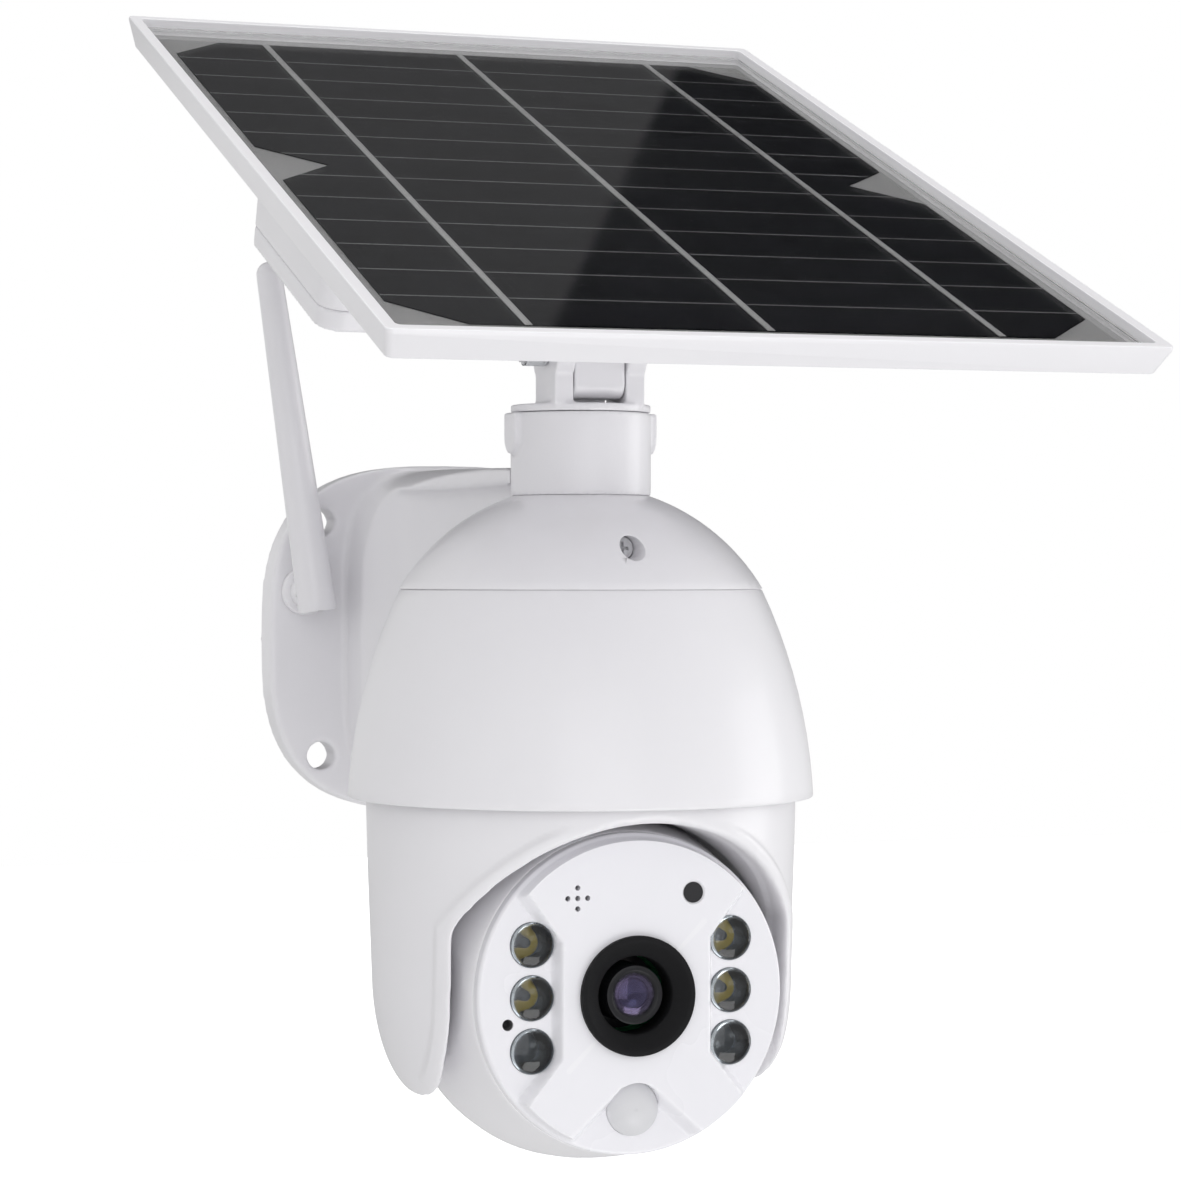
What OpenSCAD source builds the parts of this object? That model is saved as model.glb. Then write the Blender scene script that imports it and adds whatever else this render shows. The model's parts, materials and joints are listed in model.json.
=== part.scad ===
// Solar security camera: wall bracket, pan and tilt head, solar panel on a battery box, and aerial.
// Millimetres. The origin is the centre of the wall plate's back face.
// +Y goes into the wall, +Z is up, and the camera looks along -Y.

/* [Wall bracket] */
// Width of the wall plate
plate_w = 96; // [92:1:110]
// Height of the wall plate
plate_h = 91; // [86:1:104]
// Thickness of the wall plate
plate_t = 10; // [8:0.5:14]
// Distance between the screw holes, side to side
hole_pitch_x = 68; // [60:1:72]
// Distance between the screw holes, up and down
hole_pitch_z = 61; // [56:1:66]
// Diameter of the wall screw holes
wall_hole_d = 7.4; // [5:0.1:8]
// Distance from the wall to the pan axis
reach = 118; // [116:1:124]

/* [Camera body] */
// Radius of the domed cap
cap_r = 49.5; // [49:0.1:50.5]
// Height of the seam between the cap and the sun shield
seam_z = 13.7; // [13:0.1:14.5]
// Wall thickness of the moulded shells
shell_t = 2.2; // [1.8:0.1:2.4]
// Height of the lower edge of the sun shield
shield_foot_z = -34.9; // [-35.5:0.1:-34]

/* [Pan and tilt head] */
// Height of the tilt axis
tilt_z = -77.5; // [-78:0.1:-77]
// Radius of the round back of the head
head_r = 42.3; // [41.5:0.1:42.5]
// Half width across the two flat sides of the head
head_half_w = 37.5; // [36.5:0.1:38]
// Half width of the gap between the yoke arms
yoke_gap = 39.5; // [39.3:0.1:40]
// Radius of the flat front of the head
face_r = 35.5; // [35:0.1:36]

/* [Solar panel] */
// Width of the panel
panel_w = 170; // [160:1:175]
// Length of the panel along its slope
panel_l = 257.5; // [250:0.5:260]
// Slope of the panel when the camera is set up
panel_slope = 21.83; // [18:0.01:26]
// Number of solar cell strips
strip_count = 13; // [8:1:13]
// Width of the battery box
box_w = 136; // [134:1:142]
// Number of battery cells
cell_count = 6; // [4:1:6]

/* [Aerial] */
// Length of the aerial whip
whip_l = 90; // [60:1:90]
// How far the aerial leans from upright
whip_lean = 8.4; // [0:0.1:30]

/* [Hidden] */
$fn = 96;
axis_y = -reach;
fit = 0.05;              // radial running clearance
gap = 0.3;               // clearance between moving bodies

// mast and panel hinge
tube_r = 16.45;
tube_z0 = 35.5;
tube_z1 = 54.8;
post_r = 12;
flange_z1 = 56.7;
pad_x = 17.8;            // distance of the two pads' outer faces from the pan axis
pad_w = 8;
pad_z = 45.2;
hinge_y = axis_y - 6.5;
hinge_z = 70.8;
ear_r = 10.2;
tongue_hw = 6.15;
ear_hw = 11;
bolt_r = 2.5;
set_screw_z = 50.5;

// panel, measured from the hinge axis: along the slope and square to it
panel_mid = 10.85;
rim_top = 40.2;
rim_w = 2.8;
rim_h = 7.1;
rim_draft = 3.2;
rim_bottom = rim_top - rim_h;
tray_floor = rim_bottom + 1.6;
glass_top = rim_top - 2.05;
strip_l = 17.75;
cells_w = 155.5;
cells_l = strip_l * strip_count;
chamfer = 14;
box_l = 72;
box_mid = 25.1;
box_bottom = 4.7;
box_seam = 9.7;
box_corner = 6;
wall = 2;
pocket_hw = 19.5;        // the hollow in the cover that the hinge works in
pocket_back = 11.2;
pocket_top = 9.2;
cell_d = 18.4;
cell_l = 65.2;
cell_pitch = 19;
cell_mid = 21.6;
port_height = 23.7;

// camera body
cap_z = -11.4;
cap_screw_z = 23;
cap_screw_head = 26.6;   // distance of the screw's head from the pan axis
cup_r = 40;
cup_z = -28;
arc_r = 128;             // the shield's side is an arc of this radius
arc_x = -73.3;
arc_z = -41;
yoke_top = -30.4;

// head, measured from the tilt axis: forward distances
face_back = 31.5;
face_front = 35;
panel_front = 38.5;
bezel_front = 40;
bezel_r = 13.55;
led_x = 23.75;
led_pitch = 11.9;
led_r = 5.2;
pir_z = -25.8;
shaft_r = 2.5;
pin_r = 3;
button_x = 7;
button_r = 1.6;

// aerial
whip_x = -38.7;
whip_z = 12.5;
whip_y = -21;
whip_foot = 5;           // the rod ends this far below its pivot
knuckle_r = 4.6;
spigot_r = 2.6;

// A point on the side of the sun shield at height z, as a distance from the pan axis
function shield_side(z) = arc_x + sqrt(arc_r * arc_r - (z - arc_z) * (z - arc_z));

// Rounded rectangle, centred
module rounded_rect(w, d, r) {
    square([w - 2 * r, d], center = true);
    square([w, d - 2 * r], center = true);
    for (x = [-1, 1], y = [-1, 1])
        translate([x * (w / 2 - r), y * (d / 2 - r)]) circle(r);
}

// A slab with rounded upright corners, centred in x and y
module slab(w, d, h, r) {
    linear_extrude(h) rounded_rect(w, d, r);
}

// A round bar along X, between two distances from the middle
module bar_x(r, x0, x1) {
    translate([x0, 0, 0]) rotate([0, 90, 0]) cylinder(r = r, h = x1 - x0);
}

// Places children round the pan axis, in the hinge's sloping frame, and round the tilt axis
module on_mast() {
    translate([0, axis_y, 0]) children();
}

module on_panel() {
    at_hinge() rotate([panel_slope, 0, 0]) children();
}

module at_hinge() {
    translate([0, hinge_y, hinge_z]) children();
}

module on_head() {
    translate([0, axis_y, tilt_z]) children();
}

// Turns a shape drawn on the face so that its height points forward
module forward(h) {
    on_head() rotate([90, 0, 0]) translate([0, 0, h]) children();
}

// ---- wall bracket and camera body ----

// A point of a rounded square at angle a, from its half width, half height and roundness
function squircle(hw, hh, power, a) = [
    hw * sign(cos(a)) * pow(abs(cos(a)), 2 / power),
    hh * sign(sin(a)) * pow(abs(sin(a)), 2 / power)];

// A rounded square standing on the wall plane, its thickness towards the camera
module wall_pad(hw, hh, power, thick) {
    rotate([90, 0, 0]) linear_extrude(thick) polygon([for (a = [0:5:355]) squircle(hw, hh, power, a)]);
}

collar_y = -24;
collar_hw = 27.2;
collar_hh = 44;
neck_top = 42;
neck_hw = 16.4;
neck_rim = 4;
web_hw = 12;

// Side outline of the neck: flat on top, and a long fillet from under the body to the collar's foot
module neck_side() {
    start = axis_y + 48;
    run = collar_y - start;
    polygon(concat(
        [for (t = [0:10:90]) [start + run * sin(t), -collar_hh + (seam_z + collar_hh) * cos(t)]],
        [[collar_y, collar_hh], [axis_y, neck_top], [axis_y, seam_z]]));
}

// Top outline of the neck, flaring out from a half width at the mast to the collar
module neck_plan(hw, curve) {
    steps = 10;
    start = axis_y + 8;
    run = collar_y - start;
    spread = collar_hw - hw;
    right = [for (k = [0:steps]) [hw + spread * pow(k / steps, curve), start + run * k / steps]];
    left = [for (k = [steps:-1:0]) [-right[k][0], right[k][1]]];
    polygon(concat([[-hw, axis_y], [hw, axis_y]], right, left));
}

// Waisted below, with a wider rim along the top, and as round at the corners as the collar
module neck() {
    intersection() {
        union() {
            translate([0, 0, neck_top - neck_rim]) linear_extrude(20) neck_plan(neck_hw, 2.6);
            translate([0, 0, -60]) linear_extrude(60 + neck_top) neck_plan(web_hw, 4);
        }
        rotate([90, 0, 90]) linear_extrude(80, center = true) neck_side();
        wall_pad(collar_hw, collar_hh, 3.8, reach + 1);
    }
}

module wall_bracket() {
    color("#f0f1f2") difference() {
        union() {
            wall_pad(plate_w / 2, plate_h / 2, 2.9, plate_t);
            wall_pad(collar_hw, collar_hh, 3.8, -collar_y);
            neck();
        }
        on_mast() translate([0, 0, cap_z]) sphere(cap_r);
        on_mast() cylinder(r = tube_r, h = 100);
        for (x = [-1, 1], z = [-1, 1])
            translate([x * hole_pitch_x / 2, 1, z * hole_pitch_z / 2]) rotate([90, 0, 0])
                cylinder(d = wall_hole_d, h = plate_t + 2);
    }
}

// Places children at each of the three cap screws, with X pointing outwards
module at_cap_screws() {
    for (a = [-90, 30, 150])
        on_mast() translate([0, 0, cap_screw_z]) rotate([0, 0, a]) children();
}

module top_cap() {
    color("#f0f1f2") difference() {
        union() {
            on_mast() translate([0, 0, cap_z]) difference() {
                sphere(cap_r);
                sphere(cap_r - shell_t);
            }
            intersection() {
                on_mast() translate([0, 0, cap_z]) sphere(cap_r - 0.1);
                at_cap_screws() bar_x(4.5, 24.2, 40);
            }
        }
        on_mast() translate([0, 0, seam_z - 100]) cylinder(r = 80, h = 100);
        on_mast() cylinder(r = 10, h = 60);
        at_cap_screws() bar_x(2.9, cap_screw_head, 45);
        at_cap_screws() bar_x(1.4, 18, 45);
    }
}

module cap_screws() {
    color("#c9ccd0") difference() {
        union() {
            at_cap_screws() bar_x(2.6, cap_screw_head, cap_screw_head + 2);
            at_cap_screws() bar_x(1.25, 21, cap_screw_head + 0.5);
        }
        at_cap_screws() translate([cap_screw_head + 1.7, 0, 0]) cube([2, 0.7, 3], center = true);
        at_cap_screws() translate([cap_screw_head + 1.7, 0, 0]) cube([2, 3, 0.7], center = true);
    }
}

module sun_shield() {
    steps = 10;
    drop = shield_foot_z - seam_z;
    outer = [for (k = [0:steps]) [shield_side(seam_z + drop * k / steps), seam_z + drop * k / steps]];
    inner = [for (k = [steps:-1:1]) outer[k] - [shell_t, 0]];
    color("#f0f1f2") on_mast() rotate_extrude() polygon(concat(
        outer, inner, [[cup_r + 0.2, seam_z - 3.5], [cup_r + 0.2, seam_z]]));
}

module body_cup() {
    color("#e4e6e8") on_mast() difference() {
        union() {
            translate([0, 0, cup_z]) cylinder(r = cup_r, h = seam_z - cup_z - 0.2);
            translate([0, 0, cup_z - 1.8]) cylinder(r = 11, h = 2);
        }
        translate([0, 0, cup_z + 2.4]) cylinder(r = cup_r - 2, h = 60);
        translate([0, 0, cup_z - 5]) cylinder(r = 8.4, h = 20);
        for (a = [45, 225]) rotate([0, 0, a]) translate([17.5, 0, cup_z - 1]) cylinder(r = 1.5, h = 5);
    }
}

// Carrier under the cap, with three lugs for the cap screws
module chassis() {
    color("#3c4046") difference() {
        union() {
            on_mast() translate([0, 0, 10.6]) cylinder(r = cup_r - 2.2, h = 2.4);
            at_cap_screws() translate([22.8, 0, -5.5]) cube([2.4, 9, 17], center = true);
        }
        on_mast() cylinder(r = 12, h = 30);
        at_cap_screws() bar_x(1.25, 16, 40);
        for (a = [0, 90, 180, 270])
            on_mast() rotate([0, 0, a]) translate([34, 0, 0]) cylinder(r = 1.5, h = 20);
    }
}

module chassis_screws() {
    color("#8a8d92") for (a = [0, 90, 180, 270]) on_mast() rotate([0, 0, a]) translate([34, 0, 0]) {
        translate([0, 0, 13]) cylinder(r = 2.7, h = 1.8);
        translate([0, 0, 4]) cylinder(r = 1.45, h = 9.2);
    }
}

module main_board() {
    color("#1f5a3a") on_mast() difference() {
        translate([0, 0, 2]) cylinder(r = 37, h = 1.6);
        cylinder(r = 5, h = 10, center = true);
        for (a = [0, 90, 180, 270]) rotate([0, 0, a]) translate([34, 0, 0]) cylinder(r = 1.6, h = 10);
    }
}

module processor_shield() {
    color("#b9bdc2") on_mast() translate([-12, -16, 3.6]) slab(18, 16, 2.6, 1);
}

module wifi_module() {
    color("#8d9297") on_mast() translate([14, 15, 3.6]) slab(15, 18, 2.4, 1);
}

module pan_motor() {
    color("#a9adb2") on_mast() translate([0, 0, cup_z + 2.4]) difference() {
        union() {
            cylinder(r = 14, h = 19);
            slab(42, 7, 1, 3.4);
        }
        translate([0, 0, -1]) cylinder(r = shaft_r + fit, h = 12);
    }
}

module pan_motor_screws() {
    color("#8a8d92") on_mast() for (x = [-1, 1]) translate([x * 17.5, 0, cup_z + 3.4]) {
        cylinder(r = 2.6, h = 1.7);
    }
}

module pan_bearing() {
    color("#d9d6cc") on_mast() translate([0, 0, cup_z - 2.1]) difference() {
        cylinder(r = 24, h = 2.1);
        translate([0, 0, -1]) cylinder(r = 18, h = 5);
    }
}

// ---- mast, swivel and hinge ----

// Pad on each side of the mast, rounded at its foot
module mast_pads() {
    rotate([90, 0, 90]) linear_extrude(2 * pad_x, center = true) {
        translate([-pad_w / 2, pad_z + pad_w / 2]) square([pad_w, tube_z1 - pad_z - pad_w / 2]);
        translate([0, pad_z + pad_w / 2]) circle(pad_w / 2);
    }
}

module mast_tube() {
    color("#eceef0") on_mast() difference() {
        union() {
            translate([0, 0, tube_z0]) cylinder(r = tube_r, h = tube_z1 - tube_z0);
            mast_pads();
        }
        translate([0, 0, tube_z0 - 1]) cylinder(r = post_r + fit, h = 30);
        at_set_screws() bar_x(2, 0, 30);
        translate([0, 0, cap_z]) sphere(cap_r);
    }
}

// Places children at the two grub screws, with X pointing outwards: one on the right, one behind
module at_set_screws() {
    for (a = [0, 90])
        translate([0, 0, set_screw_z]) rotate([0, 0, a]) children();
}

module mast_set_screws() {
    color("#6d7075") on_mast() at_set_screws() difference() {
        bar_x(2, 10.9, 16);
        bar_x(1, 14, 20);
    }
}

// Ear of the hinge, seen from the side: round below, and smaller above to clear the cover
module ear_outline() {
    circle(8.4);
    intersection() {
        circle(ear_r);
        translate([-20, -21]) square([40, 20]);
    }
    translate([-7, flange_z1 - hinge_z - 0.5]) square([14, hinge_z - flange_z1]);
}

// Turning foot of the panel: a post inside the mast, a flange on it and two ears
module swivel_clevis() {
    color("#e6e8ea") difference() {
        union() {
            on_mast() translate([0, 0, tube_z1 + 0.1]) cylinder(r = 16.4, h = flange_z1 - tube_z1 - 0.1);
            on_mast() translate([0, 0, 39]) cylinder(r = post_r, h = flange_z1 - 39);
            for (side = [-1, 1])
                at_hinge() translate([side * (ear_hw + tongue_hw + gap) / 2, 0, 0]) rotate([90, 0, 90])
                    linear_extrude(ear_hw - tongue_hw - gap, center = true) ear_outline();
        }
        at_hinge() bar_x(bolt_r, -20, 20);
        on_mast() translate([0, 0, set_screw_z - 2.4]) difference() {
            cylinder(r = 20, h = 4.8);
            translate([0, 0, -1]) cylinder(r = 10.5, h = 8);
        }
        on_mast() translate([0, 0, 30]) cylinder(r = 6, h = 22);
    }
}

module hinge_bolt() {
    color("#b4b7bb") at_hinge() difference() {
        union() {
            bar_x(bolt_r, -15, ear_hw + 0.5);
            bar_x(4.6, ear_hw, ear_hw + 3);
        }
        translate([ear_hw + 1.6, 0, 0]) rotate([0, 90, 0]) cylinder(r = 2.6, h = 5, $fn = 6);
    }
}

// Hand knob on the threaded end of the hinge bolt
module hinge_knob() {
    color("#2a2c30") at_hinge() difference() {
        bar_x(5.5, -16.2, -ear_hw - 0.2);
        bar_x(bolt_r, -15, 0);
        for (a = [0:30:330])
            rotate([a, 0, 0]) translate([0, 0, 5.8]) bar_x(0.7, -20, -12);
    }
}

// Block between the ears, upright when the panel is set up, and cut to the slope at its top
module hinge_tongue() {
    foot = 13;
    round = 3.4;
    color("#e6e8ea") difference() {
        at_hinge() rotate([90, 0, 90]) linear_extrude(2 * tongue_hw, center = true) {
            translate([-7.2, round - foot]) square([13.7, 40]);
            translate([round - 7.2, -foot]) square([13.7 - 2 * round, 40]);
            for (y = [round - 7.2, 6.5 - round])
                translate([y, round - foot]) circle(round);
        }
        on_panel() translate([-20, -60, pocket_top]) cube([40, 120, 60]);
        at_hinge() bar_x(bolt_r + fit, -20, 20);
        at_tongue_screws() cylinder(r = 1.2, h = 20);
    }
}

// Places children at the four screws that hold the tongue under the cover
module at_tongue_screws() {
    for (x = [-3.6, 3.6], y = [-4, 5.5])
        on_panel() translate([x, y, 3.2]) children();
}

module tongue_screws() {
    color("#8a8d92") at_tongue_screws() {
        cylinder(r = 1.2, h = pocket_top + 1.4 - 3.2);
        translate([0, 0, pocket_top + 0.8 - 3.2]) cylinder(r = 2.2, h = 1.2);
    }
}

// ---- battery box ----

// Places children at each cover screw
module at_cover_screws() {
    for (x = [-1, 1], y = [-1, 1])
        on_panel() translate([x * (box_w / 2 - 7), box_mid + y * (box_l / 2 - 7), 0]) children();
}

module battery_box() {
    color("#eceef0") difference() {
        on_panel() translate([0, box_mid, box_seam]) slab(box_w, box_l, rim_bottom - box_seam, box_corner);
        difference() {
            on_panel() translate([0, box_mid, box_seam - 1])
                slab(box_w - 2 * wall, box_l - 2 * wall, rim_bottom - box_seam - 1, box_corner - wall);
            at_cover_screws() translate([0, 0, box_seam]) cylinder(r = 4, h = 30);
        }
        at_cover_screws() translate([0, 0, box_seam - 1]) cylinder(r = 1.5, h = 12);
        on_panel() translate([0, box_mid + box_l / 2, port_height]) rotate([90, 0, 0])
            translate([0, 0, -1]) slab(10.2, 5.2, 10, 2.5);
    }
}

// Hollow for the hinge, open to the front and lower under the front edge
module hinge_pocket() {
    front = -7.6;
    on_panel() translate([-pocket_hw, front, box_bottom - 1])
        cube([2 * pocket_hw, pocket_back - front, pocket_top - box_bottom + 1]);
    on_panel() translate([-pocket_hw, -20, box_bottom - 1]) cube([2 * pocket_hw, 20, 3.9]);
}

module battery_cover() {
    color("#eceef0") difference() {
        union() {
            difference() {
                on_panel() translate([0, box_mid, box_bottom])
                    slab(box_w, box_l, box_seam - box_bottom, box_corner);
                on_panel() translate([0, box_mid, box_bottom + 2.4])
                    slab(box_w - 2 * wall - 20, box_l - 2 * wall - 2, 10, 5);
            }
            on_panel() translate([-pocket_hw - wall, pocket_back + wall - 21, box_bottom])
                cube([2 * (pocket_hw + wall), 21, pocket_top + wall - box_bottom]);
        }
        hinge_pocket();
        at_cover_screws() translate([0, 0, box_bottom - 1]) cylinder(r = 1.6, h = 10);
        at_cover_screws() translate([0, 0, box_bottom - 1]) cylinder(r = 3, h = 3);
        on_panel() translate([0, box_mid, box_seam - 1]) seal_ring(0.1);
        at_tongue_screws() cylinder(r = 1.25, h = 20);
        at_tongue_screws() translate([0, 0, pocket_top + 0.8 - 3.2]) cylinder(r = 2.3, h = 5);
    }
}

// Ring that lies in the cover's groove
module seal_ring(play) {
    difference() {
        slab(box_w - 3 + 2 * play, box_l - 3 + 2 * play, 1 + play, 8);
        translate([0, 0, -1]) slab(box_w - 5.4 - 2 * play, box_l - 5.4 - 2 * play, 5, 7);
    }
}

module cover_seal() {
    color("#55585c") on_panel() translate([0, box_mid, box_seam - 1]) difference() {
        seal_ring(0);
        translate([0, 0, -1]) slab(box_w - 5.4, box_l - 5.4, 5, 7);
    }
}

module cover_screws() {
    color("#b4b7bb") difference() {
        union() {
            at_cover_screws() translate([0, 0, box_bottom + 0.2]) cylinder(r = 2.8, h = 1.8);
            at_cover_screws() translate([0, 0, box_bottom + 1]) cylinder(r = 1.5, h = 12);
        }
        at_cover_screws() translate([0, 0, box_bottom]) cube([3.4, 0.7, 2], center = true);
        at_cover_screws() translate([0, 0, box_bottom]) cube([0.7, 3.4, 2], center = true);
    }
}

// Places children at the middle of each battery cell
module at_cells() {
    for (k = [0:cell_count - 1])
        on_panel() translate([(k - (cell_count - 1) / 2) * cell_pitch, box_mid, cell_mid]) children();
}

module battery_cells() {
    color("#3f7f6a") at_cells() rotate([90, 0, 0]) cylinder(d = cell_d, h = cell_l, center = true);
}

module cell_contacts() {
    color("#c9ccd0") for (s = [-1, 1])
        on_panel() translate([4 - cell_count * cell_pitch / 2, box_mid + s * (cell_l / 2 + 0.2) - 0.15, 18.7])
            cube([cell_count * cell_pitch - 8, 0.3, 7]);
}

module charge_board() {
    color("#1f5a3a") on_panel() translate([60.5, box_mid - 24, 14.7]) cube([1.6, 48, 15.5]);
}

module port_cap() {
    color("#4a4d51") on_panel() translate([0, box_mid + box_l / 2, port_height]) rotate([90, 0, 0]) {
        translate([0, 0, -0.9]) slab(14, 8.4, 0.9, 4);
        slab(10, 5, 2.2, 2.4);
    }
}

// ---- solar panel ----

// Frame's outer shape: upright at the rim, then drawn in towards the bottom on all four sides
module frame_block() {
    top = rim_top;
    edge = rim_top - 1.1;
    foot = rim_bottom;
    hw = panel_w / 2;
    hl = panel_l / 2;
    intersection() {
        rotate([90, 0, 0]) linear_extrude(panel_l + 2, center = true)
            polygon([[-hw, top], [hw, top], [hw, edge], [hw - rim_draft, foot],
                [rim_draft - hw, foot], [-hw, edge]]);
        rotate([90, 0, 90]) linear_extrude(panel_w + 2, center = true)
            polygon([[-hl, top], [hl, top], [hl, edge], [hl - rim_draft, foot],
                [rim_draft - hl, foot], [-hl, edge]]);
        translate([0, 0, foot - 1]) slab(panel_w, panel_l, rim_h + 2, 2.5);
    }
}

module panel_frame() {
    color("#f2f3f4") on_panel() translate([0, panel_mid, 0]) difference() {
        frame_block();
        translate([0, 0, tray_floor]) slab(panel_w - 2 * rim_w, panel_l - 2 * rim_w, 20, 1.8);
    }
}

module backsheet() {
    color("#8b8f94") on_panel() translate([0, panel_mid, tray_floor])
        slab(panel_w - 2 * rim_w - 0.4, panel_l - 2 * rim_w - 0.4, 0.3, 1.6);
}

// Dark cell strips, with the corners and the middle of each long side cut off at 45 degrees
module solar_cells() {
    half = cells_w / 2;
    end = cells_l / 2;
    tip = chamfer;
    color("#15171c") on_panel() translate([0, panel_mid, tray_floor + 0.35]) intersection() {
        union() for (k = [0:strip_count - 1])
            translate([-half, -end + k * strip_l + 0.25, 0]) cube([cells_w, strip_l - 0.5, 0.25]);
        linear_extrude(1) polygon([
            [-half + tip, -end], [half - tip, -end], [half, -end + tip], [half, -tip], [half - tip, 0],
            [half, tip], [half, end - tip], [half - tip, end], [-half + tip, end], [-half, end - tip],
            [-half, tip], [-half + tip, 0], [-half, -tip], [-half, -end + tip]]);
    }
}

module cell_busbars() {
    color("#9da1a6") on_panel() translate([0, panel_mid, tray_floor + 0.62])
        for (s = [-1, 0, 1])
            translate([s * cells_w / 3 - 0.8, -cells_l / 2, 0]) cube([1.6, cells_l, 0.12]);
}

module solar_glass() {
    bottom = tray_floor + 0.8;
    color("#9fb4c4", 0.35) on_panel() translate([0, panel_mid, bottom])
        slab(panel_w - 2 * rim_w - 0.2, panel_l - 2 * rim_w - 0.2, glass_top - bottom, 1.7);
}

// ---- yoke ----

arch_apex = -38.2;
arch_r = 44.3;
back_apex = -66.5;

module yoke_shell() {
    swell = 12.9;
    depth = 29.5;
    knee = -75.5;
    side = [for (t = [0:7.5:90]) [36.2 + swell * cos(t), knee - depth * sin(t)]];
    color("#eceef0") difference() {
        on_mast() rotate_extrude() polygon(concat(
            [[0, yoke_top], [47.5, yoke_top], [50.2, yoke_top - 2.2], [50.4, -36.3], [50, -51.5]],
            side, [[0, knee - depth]]));
        // front of the gap, with its arched top
        intersection() {
            on_mast() translate([-yoke_gap, -70, -140]) cube([2 * yoke_gap, 70, 140]);
            on_mast() union() {
                rotate([90, 0, 0]) translate([0, arch_apex - arch_r, -1]) cylinder(r = arch_r, h = 80);
                translate([-yoke_gap, -80, -140]) cube([2 * yoke_gap, 81, 140 + arch_apex - arch_r]);
            }
        }
        // room for the round back of the head
        on_head() intersection() {
            sphere(head_r + 2.3);
            cube([2 * yoke_gap, 120, 120], center = true);
        }
        // back of the gap, lower than the front
        on_mast() translate([-yoke_gap, -1, -140]) cube([2 * yoke_gap, 80, 140 + back_apex]);
        on_mast() translate([-yoke_gap, -70, -140]) cube([2 * yoke_gap, 71, 140 + tilt_z]);
        // shaft, pin and hub seats
        on_head() bar_x(shaft_r, -45, 0);
        on_head() bar_x(pin_r, 0, 45);
        on_mast() translate([0, 0, yoke_top - 6]) cylinder(r = 2, h = 10);
        for (a = [0, 120, 240])
            on_mast() rotate([0, 0, a]) translate([13.5, 0, yoke_top - 6]) cylinder(r = 1, h = 10);
    }
}

module yoke_hub() {
    color("#caccd0") on_mast() difference() {
        union() {
            translate([0, 0, yoke_top]) cylinder(r = 7.9, h = 4.2);
            translate([0, 0, yoke_top]) cylinder(r = 16.5, h = 0.5);
        }
        translate([0, 0, yoke_top - 1]) cylinder(r = shaft_r, h = 20);
        for (a = [0, 120, 240]) rotate([0, 0, a]) translate([13.5, 0, yoke_top - 1]) cylinder(r = 1, h = 10);
    }
}

module hub_screws() {
    color("#8a8d92") for (a = [0, 120, 240]) on_mast() rotate([0, 0, a])
        translate([13.5, 0, yoke_top - 3]) cylinder(r = 1, h = 3.5);
}

module pan_shaft() {
    color("#c9ccd0") on_mast() translate([0, 0, yoke_top]) cylinder(r = shaft_r, h = 13);
}

module tilt_shaft() {
    color("#c9ccd0") on_head() bar_x(shaft_r, -45, -24);
}

module pivot_pin() {
    color("#c9ccd0") on_head() bar_x(pin_r, 33, 45);
}

// ---- head ----

// Half outline of the head about its forward axis: round back, then a gentle taper to the face
function head_side(r, front) = concat(
    [for (t = [-90:6:0]) [r * cos(t), r * sin(t)]],
    [for (k = [1:5]) [r - 5.7 * pow(k / 5, 1.3), front * k / 5]]);

module head_shell() {
    color("#f0f1f2") difference() {
        head_form(head_r, face_back, head_half_w);
        head_form(head_r - shell_t, face_back + 1, head_half_w - shell_t);
        on_head() bar_x(4.5, -60, 60);
        card_pocket();
    }
}

// Head's solid form: turned about the forward axis and cut flat at both sides
module head_form(r, front, hw) {
    intersection() {
        forward(0) rotate_extrude() polygon(concat(head_side(r, front), [[0, front]]));
        on_head() cube([2 * hw, 120, 120], center = true);
    }
}

module card_pocket() {
    on_head() translate([0, 6, -head_r - 5]) slab(22.4, 12.4, 9, 3);
}

// Flexible cover over the memory card slot and the reset button
module card_cover() {
    color("#dcdee0") intersection() {
        on_head() translate([0, 6, -head_r - 5]) slab(22, 12, 8.4, 2.8);
        on_head() difference() {
            sphere(head_r - 0.15);
            sphere(head_r - 1.8);
        }
    }
}

// Small board with the memory card socket and the body of the reset switch
module card_board() {
    color("#1f5a3a") on_head() difference() {
        union() {
            translate([0, 5, -32]) slab(26, 16, 1.2, 2);
            translate([-3, 5, -34]) slab(14, 11, 2, 0.6);
            translate([button_x, 6, -36]) slab(5, 5, 4, 0.6);
        }
        translate([button_x, 6, -37]) cylinder(r = button_r + fit, h = 5);
    }
}

// Reset button, reached with the flexible cover lifted
module reset_button() {
    color("#3a3d42") on_head() translate([button_x, 6, 3.4 - head_r]) cylinder(r = button_r, h = 5);
}

module pivot_bushes() {
    color("#d9d6cc") on_head() difference() {
        union() {
            bar_x(4.5, head_half_w - 3.6, head_half_w + 1);
            bar_x(6.5, head_half_w, head_half_w + 1);
            bar_x(4.5, -head_half_w - 1, -head_half_w + 2);
            bar_x(6.5, -head_half_w - 1, -head_half_w);
        }
        bar_x(pin_r + fit, 20, 60);
        bar_x(shaft_r + fit, -60, -20);
    }
}

module tilt_motor() {
    color("#a9adb2") on_head() difference() {
        bar_x(13, -34.8, -17);
        bar_x(shaft_r + fit, -40, -22);
    }
}

// Outline of the raised middle of the face, with a V below for the motion sensor
module middle_outline() {
    inner = 16.8;
    difference() {
        intersection() {
            circle(face_r - 1.2);
            polygon([[-inner, 12.5], [-27, 26], [-20, 40], [20, 40], [27, 26], [inner, 12.5],
                [inner, -13.5], [27, -26], [20, -40], [-20, -40], [-27, -26], [-inner, -13.5]]);
        }
        difference() {
            polygon([[-3.8, -20.2], [-17.5, -32.7], [-17.5, -45], [17.5, -45], [17.5, -32.7], [3.8, -20.2]]);
            circle(20.5);
        }
    }
}

// Places children at each of the six lights
module at_leds(h) {
    for (s = [-1, 1], k = [-1, 0, 1])
        forward(h) translate([s * led_x, k * led_pitch, 0]) children();
}

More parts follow.
